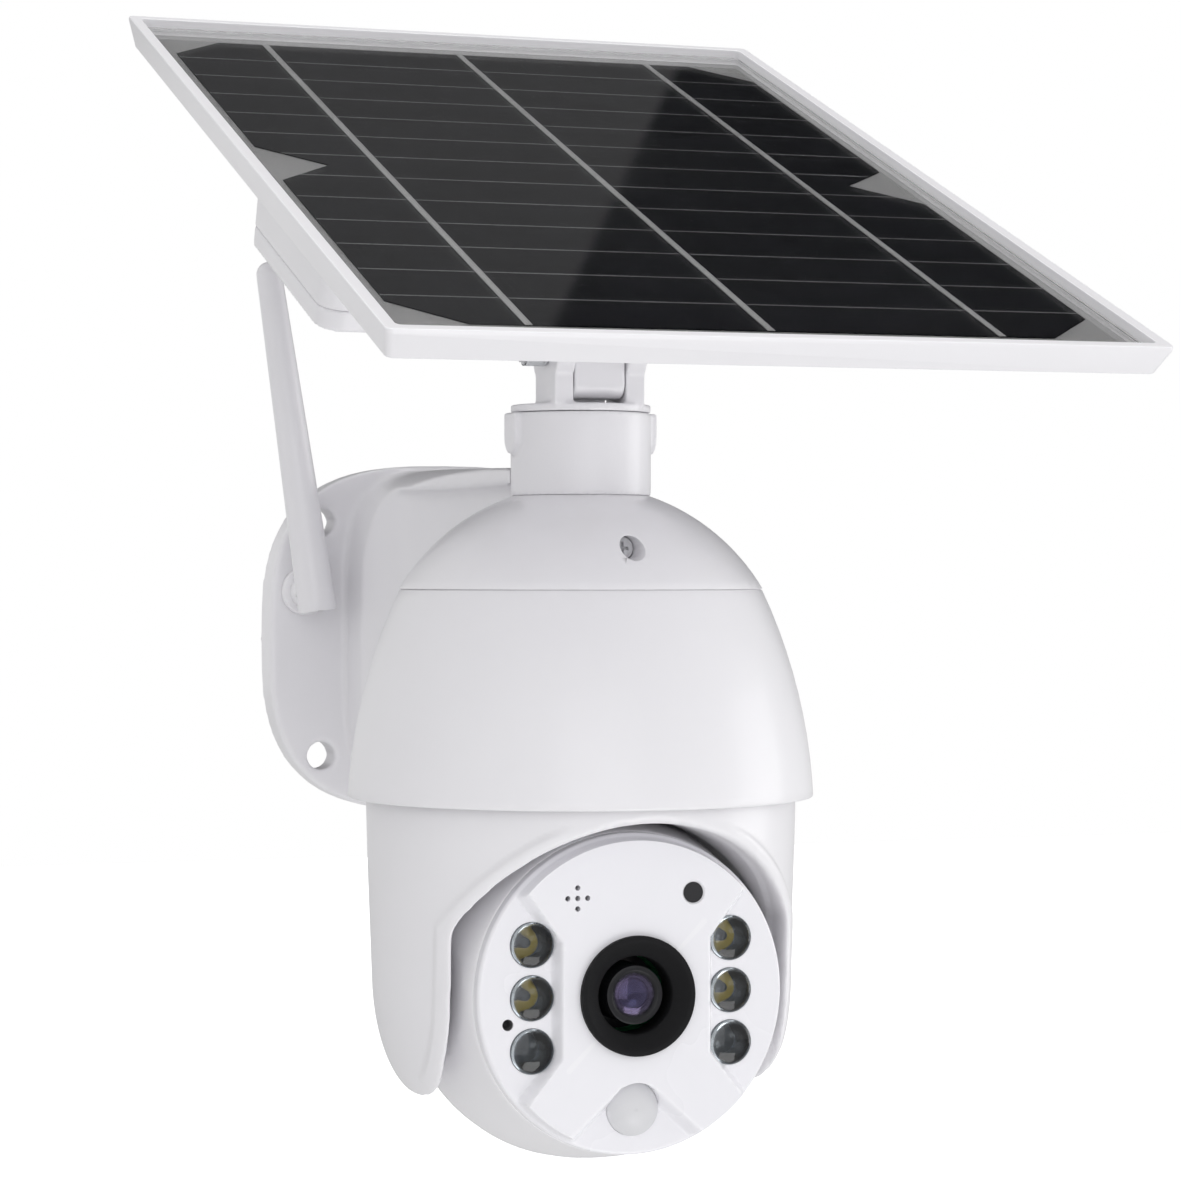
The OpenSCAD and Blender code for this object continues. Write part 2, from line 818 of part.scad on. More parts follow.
module face_plate() {
    color("#f4f5f6") difference() {
        union() {
            forward(0) rotate_extrude() polygon([[0, face_back], [36.4, face_back], [36.2, 33.6],
                [face_r, 34.6], [face_r - 0.8, face_front], [0, face_front]]);
            forward(face_front - 0.5) linear_extrude(panel_front - face_front + 0.5) middle_outline();
        }
        forward(0) cylinder(r = 11, h = 60);
        forward(37) cylinder(r = bezel_r, h = 10);
        at_leds(20) cylinder(r = led_r, h = 30);
        forward(20) translate([0, pir_z, 0]) cylinder(r = 6.2, h = 30);
        forward(20) translate([13.6, 22.8, 0]) cylinder(r = 2.35, h = 30);
        for (p = [[0, 0], [1, 0], [-1, 0], [0, 1], [0, -1]])
            forward(20) translate([-14.1 + p[0] * 2.35, 22.3 + p[1] * 2.35, 0]) cylinder(r = 0.6, h = 30);
        forward(20) translate([-29.4, -5.8, 0]) cylinder(r = 1.3, h = 30);
    }
}

module face_seal() {
    color("#4a4d51") forward(face_back - 2.4) difference() {
        cylinder(r = 34.4, h = 2.4);
        translate([0, 0, -1]) cylinder(r = 32.4, h = 5);
    }
}

module lens_bezel() {
    color("#101114") forward(37) difference() {
        union() {
            cylinder(r = bezel_r, h = bezel_front - 37);
            translate([0, 0, -6]) cylinder(r = 10.9, h = 7);
        }
        translate([0, 0, -7]) cylinder(r = 8.8, h = 20);
        translate([0, 0, 0.4]) cylinder(r1 = 8.8, r2 = 12.4, h = bezel_front - 37 - 0.39);
    }
}

module lens_barrel() {
    color("#1c1e22") forward(18) difference() {
        union() {
            cylinder(r = 6.65, h = 19);
            cylinder(r = 8.7, h = 8);
        }
        translate([0, 0, -1]) cylinder(r = 3.65, h = 30);
        translate([0, 0, 17.6]) cylinder(r1 = 3.65, r2 = 5.6, h = 1.5);
    }
}

module lens_glass() {
    color("#3b2a55", 0.6) forward(0) intersection() {
        cylinder(r = 3.6, h = 36.6);
        translate([0, 0, 30]) sphere(6.4);
        translate([-5, -5, 33]) cube([10, 10, 5]);
    }
}

module image_board() {
    color("#1f5a3a") forward(15.2) {
        translate([0, 2, 0]) slab(30, 34, 1.4, 3);
        translate([0, 0, 1.4]) slab(8, 8, 1.3, 0.5);
    }
}

// Ring-shaped board that carries the lights, with the two sensors in it
module led_board() {
    color("#e8e9ea") forward(25.4) difference() {
        cylinder(r = 31.6, h = 1.6);
        translate([0, 0, -1]) cylinder(r = 11.5, h = 5);
    }
    color("#b9bdc2") forward(27) translate([0, pir_z, 0]) cylinder(r = 4.1, h = 3);
}

module led_chips() {
    color("#f2c230") at_leds(27) slab(5, 5, 2.6, 0.5);
}

// Clear dome over each light
module led_lenses() {
    color("#dfe6ee", 0.4) at_leds(0) intersection() {
        translate([0, 0, 30.6]) cylinder(r = led_r - 0.05, h = 10);
        translate([0, 0, 22.2]) sphere(14);
    }
}

module pir_dome() {
    color("#f7f7f5") forward(0) translate([0, pir_z, 0]) intersection() {
        translate([0, 0, 31.6]) cylinder(r = 6.15, h = 10);
        translate([0, 0, 28.4]) sphere(9.4);
    }
}

module light_window() {
    color("#202226", 0.8) forward(36.4) translate([13.6, 22.8, 0]) cylinder(r = 2.3, h = 1.9);
}

module speaker() {
    color("#2a2c30") on_head() translate([0, 22, -12]) rotate([90, 0, 0]) {
        cylinder(r = 14, h = 4.5);
        translate([0, 0, -3]) cylinder(r = 8, h = 3.5);
    }
}

// ---- aerial ----

// Places children at the aerial's pivot, leaning with the whip
module on_whip() {
    translate([whip_x, whip_y, whip_z]) rotate([0, -whip_lean, 0]) children();
}

// Boss on the wall plate with a spigot for the aerial
module antenna_socket() {
    color("#eceef0") translate([whip_x, -plate_t, whip_z]) rotate([90, 0, 0]) {
        cylinder(r = 6.2, h = 3);
        cylinder(r = spigot_r, h = 8.4);
    }
}

// Bush that turns on the spigot; the whip sits on its front
module antenna_knuckle() {
    color("#eceef0") translate([whip_x, -plate_t - 3.1, whip_z]) rotate([90, 0, 0]) difference() {
        cylinder(r = knuckle_r, h = 5.8);
        translate([0, 0, -1]) cylinder(r = spigot_r + fit, h = 6.4);
    }
}

module antenna_whip() {
    foot_r = 5;
    tip_r = 3.3;
    tip_z = whip_l - 7.9;
    color("#eceef0") difference() {
        on_whip() {
            translate([0, 0, -whip_foot]) cylinder(r1 = foot_r, r2 = tip_r, h = tip_z + whip_foot);
            translate([0, 0, tip_z]) sphere(tip_r);
        }
        translate([whip_x, -plate_t - 3.1, whip_z]) rotate([90, 0, 0]) cylinder(r = knuckle_r, h = 5.8);
    }
}

wall_bracket();
top_cap();
cap_screws();
sun_shield();
body_cup();
chassis();
chassis_screws();
main_board();
processor_shield();
wifi_module();
pan_motor();
pan_motor_screws();
pan_bearing();
mast_tube();
mast_set_screws();
antenna_socket();
antenna_knuckle();
antenna_whip();
swivel_clevis();
hinge_bolt();
hinge_knob();
hinge_tongue();
tongue_screws();
battery_box();
battery_cover();
cover_seal();
cover_screws();
battery_cells();
cell_contacts();
charge_board();
port_cap();
panel_frame();
backsheet();
solar_cells();
cell_busbars();
solar_glass();
yoke_shell();
yoke_hub();
hub_screws();
pan_shaft();
tilt_shaft();
pivot_pin();
head_shell();
pivot_bushes();
tilt_motor();
face_plate();
face_seal();
lens_bezel();
lens_barrel();
lens_glass();
image_board();
led_board();
led_chips();
led_lenses();
pir_dome();
light_window();
speaker();
card_board();
card_cover();
reset_button();
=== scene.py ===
import json
import math

import bmesh
import bpy
from mathutils import Matrix, Vector


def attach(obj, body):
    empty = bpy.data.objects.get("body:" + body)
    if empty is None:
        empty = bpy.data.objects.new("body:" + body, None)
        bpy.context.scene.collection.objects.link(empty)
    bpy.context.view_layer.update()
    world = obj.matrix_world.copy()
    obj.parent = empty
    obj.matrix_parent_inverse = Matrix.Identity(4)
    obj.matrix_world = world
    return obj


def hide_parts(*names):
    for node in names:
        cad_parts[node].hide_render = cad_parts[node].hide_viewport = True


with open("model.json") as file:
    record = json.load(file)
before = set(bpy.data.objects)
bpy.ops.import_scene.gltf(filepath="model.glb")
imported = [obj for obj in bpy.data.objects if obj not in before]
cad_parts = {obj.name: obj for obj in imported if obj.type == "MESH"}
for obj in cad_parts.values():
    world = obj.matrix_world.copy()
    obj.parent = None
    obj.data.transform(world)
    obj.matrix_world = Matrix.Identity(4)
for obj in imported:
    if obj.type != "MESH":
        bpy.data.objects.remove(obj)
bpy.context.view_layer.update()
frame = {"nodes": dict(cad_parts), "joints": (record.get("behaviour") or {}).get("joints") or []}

# The camera stands a little to the left of the lens, level with the seam under the cap,
# and looks along the mast of the camera from about 0.8 m away.
pivot = {joint["name"]: Vector(joint["pos_m"]) for joint in frame["joints"] if "pos_m" in joint}
eye_turn = math.radians(19.4)
eye_dip = math.radians(0.37)
eye_distance = 0.811
eye_height = 0.0185
eye_side = 0.0023
look = Vector((math.sin(eye_turn), math.cos(eye_turn), 0.0))
right_hand = Vector((math.cos(eye_turn), -math.sin(eye_turn), 0.0))
camera = bpy.data.objects.new("camera", bpy.data.cameras.new("camera"))
camera.data.lens = 105.26
camera.data.sensor_width = 36.0
camera.data.clip_start = 0.01
mast_axis = Vector((0.0, pivot["head_pan"].y, eye_height))
camera.location = mast_axis - look * eye_distance + right_hand * eye_side
camera.rotation_euler = (math.pi / 2 - eye_dip, 0.0, -eye_turn)
bpy.context.scene.collection.objects.link(camera)
bpy.context.scene.camera = camera
bpy.context.scene.view_settings.view_transform = "Standard"

# Studio: a wide pale floor well below the camera and a white surround.
# Large soft lights stand in front, at the right, low down and overhead. The surround is dark high up
# behind, where the sloping panel looks, and a little less dark to the left of a straight edge there.
world = bpy.data.worlds.new("studio surround")
bpy.context.scene.world = world
world.use_nodes = True
sky = world.node_tree.nodes
sky_link = world.node_tree.links.new
surround = sky["Background"]
surround.inputs["Color"].default_value = (1.0, 1.0, 1.0, 1.0)
direction = sky.new("ShaderNodeTexCoord")


def along(axis):
    """How far the direction of view points along an axis."""
    lean = sky.new("ShaderNodeVectorMath")
    lean.operation = "DOT_PRODUCT"
    lean.inputs[1].default_value = Vector(axis).normalized()
    sky_link(direction.outputs["Generated"], lean.inputs[0])
    return lean.outputs["Value"]


def sky_range(value, start, end, first, last, kind="LINEAR"):
    mapped = sky.new("ShaderNodeMapRange")
    mapped.interpolation_type = kind
    sky_link(value, mapped.inputs["Value"])
    for socket, amount in (("From Min", start), ("From Max", end), ("To Min", first), ("To Max", last)):
        mapped.inputs[socket].default_value = amount
    return mapped.outputs["Result"]


def sky_mix(factor, first, second):
    mixed = sky.new("ShaderNodeMix")
    sky_link(factor, mixed.inputs["Factor"])
    for socket, source in (("A", first), ("B", second)):
        if isinstance(source, float):
            mixed.inputs[socket].default_value = source
        else:
            sky_link(source, mixed.inputs[socket])
    return mixed.outputs["Result"]


ambient = 0.78
behind = sky_range(along((0.8623, -0.4885, 0.1337)), -0.0015, 0.0015, 0.066, 0.0)
dark_cone = sky_range(along((0.344, 0.75, 0.565)), 0.72, 0.92, 0.0, 1.0, "SMOOTHSTEP")
dark_patch = sky_mix(dark_cone, ambient, behind)
ray_kind = sky.new("ShaderNodeLightPath")
sky_link(sky_mix(ray_kind.outputs["Is Camera Ray"], dark_patch, 1.0), surround.inputs["Strength"])


def soft_light(name, place, size, watts, tint=(1.0, 1.0, 1.0)):
    lamp = bpy.data.lights.new(name, "AREA")
    lamp.size = size
    lamp.energy = watts
    lamp.color = tint
    light = bpy.data.objects.new(name, lamp)
    light.location = place
    aim = Vector((0.0, pivot["head_pan"].y, 0.0)) - Vector(place)
    light.rotation_euler = aim.to_track_quat("-Z", "Y").to_euler()
    bpy.context.scene.collection.objects.link(light)
    return light


soft_light("front light", (-0.35, -1.9, 0.15), 1.3, 4.6, (0.98, 0.975, 1.0))
soft_light("right light", (1.6, -0.4, 0.0), 0.9, 4.4)
soft_light("low light", (0.3, -1.1, -0.95), 0.7, 3.9)
soft_light("top light", (0.1, -0.3, 1.6), 1.1, 11.5)

floor_mesh = bpy.data.meshes.new("floor")
shape = bmesh.new()
bmesh.ops.create_grid(shape, x_segments=1, y_segments=1, size=12.0)
bmesh.ops.translate(shape, verts=shape.verts, vec=(0.0, 0.0, -1.1))
shape.to_mesh(floor_mesh)
shape.free()
floor = bpy.data.objects.new("floor", floor_mesh)
bpy.context.scene.collection.objects.link(floor)
floor_paint = bpy.data.materials.new("pale floor")
floor_paint.use_nodes = True
floor_shader = floor_paint.node_tree.nodes["Principled BSDF"]
floor_shader.inputs["Base Color"].default_value = (0.85, 0.85, 0.85, 1.0)
floor_shader.inputs["Roughness"].default_value = 0.9
floor_shader.inputs["Emission Color"].default_value = (1.0, 1.0, 1.0, 1.0)
first_look = floor_paint.node_tree.nodes.new("ShaderNodeLightPath")
floor_paint.node_tree.links.new(first_look.outputs["Is Camera Ray"], floor_shader.inputs["Emission Strength"])
floor.data.materials.append(floor_paint)

# Wall bracket: one white moulding of plate, collar and hollow-sided neck, screwed to the wall.
# It is glossy ABS with soft moulded edges; every white shell of the camera has the same skin.
node = frame["nodes"]


def effect_group(name, inputs, outputs):
    group = bpy.data.node_groups.new(name, "ShaderNodeTree")
    for label, kind, value in inputs:
        group.interface.new_socket(label, in_out="INPUT", socket_type=kind).default_value = value
    for label, kind in outputs:
        group.interface.new_socket(label, in_out="OUTPUT", socket_type=kind)
    start = group.nodes.new("NodeGroupInput")
    end = group.nodes.new("NodeGroupOutput")
    return group, start, end


def add(tree, kind, settings=(), **inputs):
    made = tree.nodes.new(kind)
    for key, value in dict(settings).items():
        setattr(made, key, value)
    for key, value in inputs.items():
        socket = made.inputs[key.replace("_", " ")]
        if isinstance(value, bpy.types.NodeSocket):
            tree.links.new(value, socket)
        else:
            socket.default_value = value
    return made


# moulded skin: slow cloudy tone, fine spark-eroded grain and shallow flow waves
skin, skin_in, skin_out = effect_group(
    "moulded skin",
    [("Cloud Size", "NodeSocketFloat", 30.0), ("Grain Size", "NodeSocketFloat", 2600.0)],
    [("Tone", "NodeSocketFloat"), ("Grain", "NodeSocketFloat"), ("Height", "NodeSocketFloat")])
place = add(skin, "ShaderNodeTexCoord")
cloud = add(skin, "ShaderNodeTexNoise", Vector=place.outputs["Object"], Scale=skin_in.outputs["Cloud Size"],
            Detail=3.0, Roughness=0.5)
fine = add(skin, "ShaderNodeTexNoise", Vector=place.outputs["Object"], Scale=skin_in.outputs["Grain Size"],
           Detail=2.0, Roughness=0.6)
waves = add(skin, "ShaderNodeTexNoise", Vector=place.outputs["Object"], Scale=14.0, Detail=1.0)
blend = add(skin, "ShaderNodeMath", {"operation": "MULTIPLY_ADD"})
skin.links.new(waves.outputs["Fac"], blend.inputs[0])
blend.inputs[1].default_value = 0.5
skin.links.new(fine.outputs["Fac"], blend.inputs[2])
skin.links.new(cloud.outputs["Fac"], skin_out.inputs["Tone"])
skin.links.new(fine.outputs["Fac"], skin_out.inputs["Grain"])
skin.links.new(blend.outputs["Value"], skin_out.inputs["Height"])

# weathering: outdoor dust that settles on faces that look up, and a rub along outside edges
weather, weather_in, weather_out = effect_group(
    "outdoor weather",
    [("Dust", "NodeSocketFloat", 0.3), ("Rub", "NodeSocketFloat", 0.3)],
    [("Dust", "NodeSocketFloat"), ("Rub", "NodeSocketFloat")])
facing = add(weather, "ShaderNodeNewGeometry")
upward = add(weather, "ShaderNodeSeparateXYZ", Vector=facing.outputs["Normal"])
lying = add(weather, "ShaderNodeMapRange", Value=upward.outputs["Z"], From_Min=0.35, From_Max=1.0)
spots = add(weather, "ShaderNodeTexCoord")
drift = add(weather, "ShaderNodeTexNoise", Vector=spots.outputs["Object"], Scale=90.0, Detail=5.0)
speck = add(weather, "ShaderNodeMapRange", Value=drift.outputs["Fac"], From_Min=0.42, From_Max=0.75)
settle = add(weather, "ShaderNodeMath", {"operation": "MULTIPLY"})
weather.links.new(lying.outputs["Result"], settle.inputs[0])
weather.links.new(speck.outputs["Result"], settle.inputs[1])
amount = add(weather, "ShaderNodeMath", {"operation": "MULTIPLY"})
weather.links.new(settle.outputs["Value"], amount.inputs[0])
weather.links.new(weather_in.outputs["Dust"], amount.inputs[1])
ridge = add(weather, "ShaderNodeMapRange", Value=facing.outputs["Pointiness"], From_Min=0.51, From_Max=0.58)
rubbed = add(weather, "ShaderNodeMath", {"operation": "MULTIPLY"})
weather.links.new(ridge.outputs["Result"], rubbed.inputs[0])
weather.links.new(weather_in.outputs["Rub"], rubbed.inputs[1])
weather.links.new(amount.outputs["Value"], weather_out.inputs["Dust"])
weather.links.new(rubbed.outputs["Value"], weather_out.inputs["Rub"])


def place_group(tree, group, **inputs):
    made = tree.nodes.new("ShaderNodeGroup")
    made.node_tree = group
    for key, value in inputs.items():
        made.inputs[key.replace("_", " ")].default_value = value
    return made


def moulded_plastic(name, colour, shade, gloss, dust=0.3, rub=0.3, grain=2600.0, depth=0.5, coat=0.0,
                    shine=0.5):
    """Plastic whose tone drifts from colour to shade, with grain, dust and rubbed edges."""
    paint = bpy.data.materials.new(name)
    paint.use_nodes = True
    tree = paint.node_tree
    shader = tree.nodes["Principled BSDF"]
    surface = place_group(tree, skin, Grain_Size=grain)
    air = place_group(tree, weather, Dust=dust, Rub=rub)
    tone = add(tree, "ShaderNodeMix", {"data_type": "RGBA"})
    tone.inputs["A"].default_value = (*colour, 1.0)
    tone.inputs["B"].default_value = (*shade, 1.0)
    tree.links.new(surface.outputs["Tone"], tone.inputs["Factor"])
    dusty = add(tree, "ShaderNodeMix", {"data_type": "RGBA"})
    dusty.inputs["B"].default_value = (0.62, 0.6, 0.56, 1.0)
    tree.links.new(air.outputs["Dust"], dusty.inputs["Factor"])
    tree.links.new(tone.outputs["Result"], dusty.inputs["A"])
    worn = add(tree, "ShaderNodeMix", {"data_type": "RGBA"})
    worn.inputs["B"].default_value = (*[min(1.0, c * 1.12 + 0.02) for c in colour], 1.0)
    tree.links.new(air.outputs["Rub"], worn.inputs["Factor"])
    tree.links.new(dusty.outputs["Result"], worn.inputs["A"])
    tree.links.new(worn.outputs["Result"], shader.inputs["Base Color"])
    rough = add(tree, "ShaderNodeMapRange", Value=surface.outputs["Tone"], From_Min=0.0, From_Max=1.0,
                To_Min=gloss - 0.05, To_Max=gloss + 0.06)
    duller = add(tree, "ShaderNodeMath", {"operation": "MULTIPLY_ADD"})
    tree.links.new(air.outputs["Dust"], duller.inputs[0])
    duller.inputs[1].default_value = 0.4
    tree.links.new(rough.outputs["Result"], duller.inputs[2])
    tree.links.new(duller.outputs["Value"], shader.inputs["Roughness"])
    bump = add(tree, "ShaderNodeBump", Strength=depth, Distance=0.00002, Height=surface.outputs["Height"])
    tree.links.new(bump.outputs["Normal"], shader.inputs["Normal"])
    shader.inputs["Specular IOR Level"].default_value = shine
    shader.inputs["Coat Weight"].default_value = coat
    shader.inputs["Coat Roughness"].default_value = 0.12
    return paint


white_shell = moulded_plastic("white shell plastic", (0.868, 0.86, 0.884), (0.832, 0.824, 0.85), 0.3,
                              dust=0.12, rub=0.25, coat=0.15)


def merged_copy(cad_name, flat=0.02):
    """The CAD node's own shape, welded, with its flat faces made whole."""
    made = bmesh.new()
    made.from_mesh(node[cad_name].data)
    bmesh.ops.remove_doubles(made, verts=made.verts, dist=0.000002)
    bmesh.ops.dissolve_degenerate(made, edges=made.edges, dist=0.000001)
    if flat:
        bmesh.ops.dissolve_limit(made, angle_limit=math.radians(flat), verts=made.verts, edges=made.edges)
    return made


def finish_piece(name, made, body, paint, stands_for=(), smooth=True):
    """Turns the built shape into a named piece that rides on its body."""
    mesh = bpy.data.meshes.new(name)
    made.to_mesh(mesh)
    made.free()
    if smooth:
        mesh.shade_smooth()
    mesh.materials.append(paint)
    piece = bpy.data.objects.new(name, mesh)
    bpy.context.scene.collection.objects.link(piece)
    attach(piece, body)
    if stands_for:
        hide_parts(*stands_for)
    return piece


def soften(piece, width, angle=28.0, steps=3):
    """Rounds every edge that is sharper than angle."""
    bevel = piece.modifiers.new("soft edges", "BEVEL")
    bevel.width = width
    bevel.segments = steps
    bevel.limit_method = "ANGLE"
    bevel.angle_limit = math.radians(angle)
    bevel.harden_normals = True
    bevel.use_clamp_overlap = False
    return piece


def moulded_piece(name, cad_name, body, paint, edge, angle=28.0, steps=3):
    piece = finish_piece(name, merged_copy(cad_name), body, paint, [cad_name])
    return soften(piece, edge, angle, steps)


def blended_piece(name, cad_name, body, paint, cell, passes):
    """Remakes a moulding in fine even faces and relaxes them, so that every corner is a fillet."""
    piece = finish_piece(name, merged_copy(cad_name, 0.0), body, paint, [cad_name])
    even = piece.modifiers.new("even faces", "REMESH")
    even.mode = "VOXEL"
    even.voxel_size = cell
    relax = piece.modifiers.new("fillets", "SMOOTH")
    relax.factor = 0.5
    relax.iterations = passes
    done = bpy.data.meshes.new_from_object(piece.evaluated_get(bpy.context.evaluated_depsgraph_get()))
    piece.modifiers.clear()
    piece.data = done
    done.shade_smooth()
    return piece


blended_piece("wall_bracket_moulding", "wall_bracket", "base", white_shell, 0.0008, 6)

# Domed cap: white moulding over the motor carrier, held by three screws in sunk holes.
# The cap screws are white-lacquered cross-head steel; the zinc-plated steel below is for the other screws.
moulded_piece("top_cap_moulding", "top_cap", "base", white_shell, 0.00012, 40.0, 2)


def plated_metal(name, colour, shade, gloss, turned=900.0, dust=0.1):
    """Metal with fine turning marks and a cloudy plating."""
    paint = bpy.data.materials.new(name)
    paint.use_nodes = True
    tree = paint.node_tree
    shader = tree.nodes["Principled BSDF"]
    shader.inputs["Metallic"].default_value = 1.0
    surface = place_group(tree, skin, Cloud_Size=240.0, Grain_Size=turned * 4.0)
    air = place_group(tree, weather, Dust=dust, Rub=0.5)
    tone = add(tree, "ShaderNodeMix", {"data_type": "RGBA"})
    tone.inputs["A"].default_value = (*colour, 1.0)
    tone.inputs["B"].default_value = (*shade, 1.0)
    tree.links.new(surface.outputs["Tone"], tone.inputs["Factor"])
    bright = add(tree, "ShaderNodeMix", {"data_type": "RGBA"})
    bright.inputs["B"].default_value = (0.9, 0.9, 0.9, 1.0)
    tree.links.new(air.outputs["Rub"], bright.inputs["Factor"])
    tree.links.new(tone.outputs["Result"], bright.inputs["A"])
    tree.links.new(bright.outputs["Result"], shader.inputs["Base Color"])
    marks = add(tree, "ShaderNodeTexCoord")
    lines = add(tree, "ShaderNodeTexWave", {"wave_type": "RINGS"}, Vector=marks.outputs["Object"],
                Scale=turned,
                Distortion=1.5)
    rough = add(tree, "ShaderNodeMapRange", Value=lines.outputs["Fac"], To_Min=gloss - 0.05,
                To_Max=gloss + 0.1)
    tree.links.new(rough.outputs["Result"], shader.inputs["Roughness"])
    bump = add(tree, "ShaderNodeBump", Strength=0.4, Distance=0.00001, Height=surface.outputs["Height"])
    tree.links.new(bump.outputs["Normal"], shader.inputs["Normal"])
    return paint


screw_steel = plated_metal("zinc plated steel", (0.62, 0.62, 0.63), (0.5, 0.5, 0.52), 0.3)
lacquered = moulded_plastic("white lacquered steel", (0.72, 0.72, 0.74), (0.66, 0.66, 0.68), 0.45, dust=0.1)
moulded_piece("cap_cross_screws", "cap_screws", "base", lacquered, 0.00012)

# Sun shield: a thin white skirt that keeps sun and rain off the turning yoke, clipped under the cap.
moulded_piece("sun_shield_moulding", "sun_shield", "base", white_shell, 0.0006, 40.0)

# Inside the cap: cup, motor carrier, boards, pan motor and its bearing ring. They are all hidden
# under the shell, so each keeps its CAD shape and gets its own finish.


def paint_node(cad_name, paint):
    node[cad_name].data.materials.clear()
    node[cad_name].data.materials.append(paint)


inner_plastic = moulded_plastic("grey inner plastic", (0.66, 0.67, 0.69), (0.6, 0.61, 0.63), 0.5, dust=0.2,
                                depth=0.8)
dark_plastic = moulded_plastic("black glass-filled nylon", (0.035, 0.036, 0.04), (0.055, 0.056, 0.06), 0.48,
                               dust=0.15, grain=1800.0, depth=0.9)
bearing_plastic = moulded_plastic("natural acetal", (0.78, 0.76, 0.7), (0.72, 0.7, 0.64), 0.36, dust=0.05)
paint_node("body_cup", inner_plastic)
paint_node("chassis", dark_plastic)
paint_node("chassis_screws", screw_steel)
paint_node("pan_motor_screws", screw_steel)
paint_node("pan_bearing", bearing_plastic)


def circuit_board(name, mask, shade, copper):
    """Solder mask over copper tracks, with rows of small pads."""
    paint = bpy.data.materials.new(name)
    paint.use_nodes = True
    tree = paint.node_tree
    shader = tree.nodes["Principled BSDF"]
    spot = add(tree, "ShaderNodeTexCoord")
    tracks = add(tree, "ShaderNodeTexBrick", Vector=spot.outputs["Object"], Scale=260.0, Mortar_Size=0.03,
                 Color1=(*mask, 1.0), Color2=(*shade, 1.0), Mortar=(*copper, 1.0))
    tree.links.new(tracks.outputs["Color"], shader.inputs["Base Color"])
    pads = add(tree, "ShaderNodeTexVoronoi", {"distance": "CHEBYCHEV"}, Vector=spot.outputs["Object"],
               Scale=420.0)
    tin = add(tree, "ShaderNodeMapRange", Value=pads.outputs["Distance"], From_Min=0.12, From_Max=0.1)
    tree.links.new(tin.outputs["Result"], shader.inputs["Metallic"])
    surface = place_group(tree, skin, Grain_Size=3200.0)
    rough = add(tree, "ShaderNodeMapRange", Value=surface.outputs["Tone"], To_Min=0.2, To_Max=0.45)
    tree.links.new(rough.outputs["Result"], shader.inputs["Roughness"])
    bump = add(tree, "ShaderNodeBump", Strength=0.6, Distance=0.00004, Height=tracks.outputs["Fac"])
    tree.links.new(bump.outputs["Normal"], shader.inputs["Normal"])
    return paint


green_board = circuit_board("green circuit board", (0.012, 0.13, 0.05), (0.015, 0.16, 0.065),
                            (0.03, 0.24, 0.1))
white_board = circuit_board("white light board", (0.72, 0.73, 0.74), (0.68, 0.69, 0.7), (0.5, 0.51, 0.5))
can_metal = plated_metal("tinned screening can", (0.66, 0.67, 0.68), (0.56, 0.57, 0.58), 0.34, turned=300.0)
motor_metal = plated_metal("drawn motor can", (0.55, 0.56, 0.58), (0.46, 0.47, 0.49), 0.3, turned=500.0)
for board in ("main_board", "charge_board", "image_board", "card_board"):
    paint_node(board, green_board)
paint_node("led_board", white_board)
for can in ("processor_shield", "wifi_module", "cell_contacts"):
    paint_node(can, can_metal)
for motor in ("pan_motor", "tilt_motor"):
    paint_node(motor, motor_metal)

# Mast: a short white tube on the cap with a pad on each side, where two grub screws bear on the
# panel foot's post. The foot turns in it and carries the two ears of the tilt hinge.
blended_piece("mast_tube_moulding", "mast_tube", "base", white_shell, 0.0005, 3)
paint_node("mast_set_screws", screw_steel)
blended_piece("panel_foot_moulding", "swivel_clevis", "panel_foot", white_shell, 0.0005, 3)
web = bmesh.new()
bmesh.ops.create_cube(web, size=1.0, matrix=Matrix.Translation((0.0, -0.1142, 0.0577))
                      @ Matrix.Diagonal((0.0134, 0.0044, 0.0026, 1.0)))
bmesh.ops.bevel(web, geom=web.edges[:], offset=0.0003, segments=2, profile=0.5, affect="EDGES", material=-1)
finish_piece("panel_foot_web", web, "panel_foot", white_shell, smooth=False)

# Tilt hinge: the tongue under the battery box sits between the ears on a steel bolt, which a
# light grey knob tightens by hand.
blended_piece("hinge_tongue_moulding", "hinge_tongue", "panel", white_shell, 0.0005, 3)
moulded_piece("hinge_hex_bolt", "hinge_bolt", "panel_foot", screw_steel, 0.0002)
knob_plastic = moulded_plastic("light grey knob plastic", (0.6, 0.61, 0.63), (0.54, 0.55, 0.57), 0.42,
                               rub=0.6, dust=0.2)
moulded_piece("hinge_hand_knob", "hinge_knob", "panel_foot", knob_plastic, 0.00025)
paint_node("tongue_screws", screw_steel)

# Battery box: white tray and screwed-on cover under the panel, sealed by a rubber ring, with six
# round cells side by side inside, nickel strips on their ends and a charging board beside them.
moulded_piece("battery_box_moulding", "battery_box", "panel", white_shell, 0.0004)
blended_piece("battery_cover_moulding", "battery_cover", "panel", white_shell, 0.0007, 2)
moulded_piece("cover_cross_screws", "cover_screws", "panel", screw_steel, 0.00012)
black_rubber = moulded_plastic("black rubber", (0.03, 0.03, 0.032), (0.045, 0.045, 0.047), 0.62, dust=0.4,
                               grain=1200.0)
grey_rubber = moulded_plastic("grey silicone rubber", (0.5, 0.51, 0.52), (0.44, 0.45, 0.46), 0.55, dust=0.3)
moulded_piece("port_rubber_cap", "port_cap", "panel", grey_rubber, 0.0003)
paint_node("cover_seal", black_rubber)
cell_wrap = moulded_plastic("green shrink wrap", (0.05, 0.27, 0.21), (0.06, 0.31, 0.25), 0.28, dust=0.0,
                            depth=0.3, coat=0.4)
paint_node("battery_cells", cell_wrap)

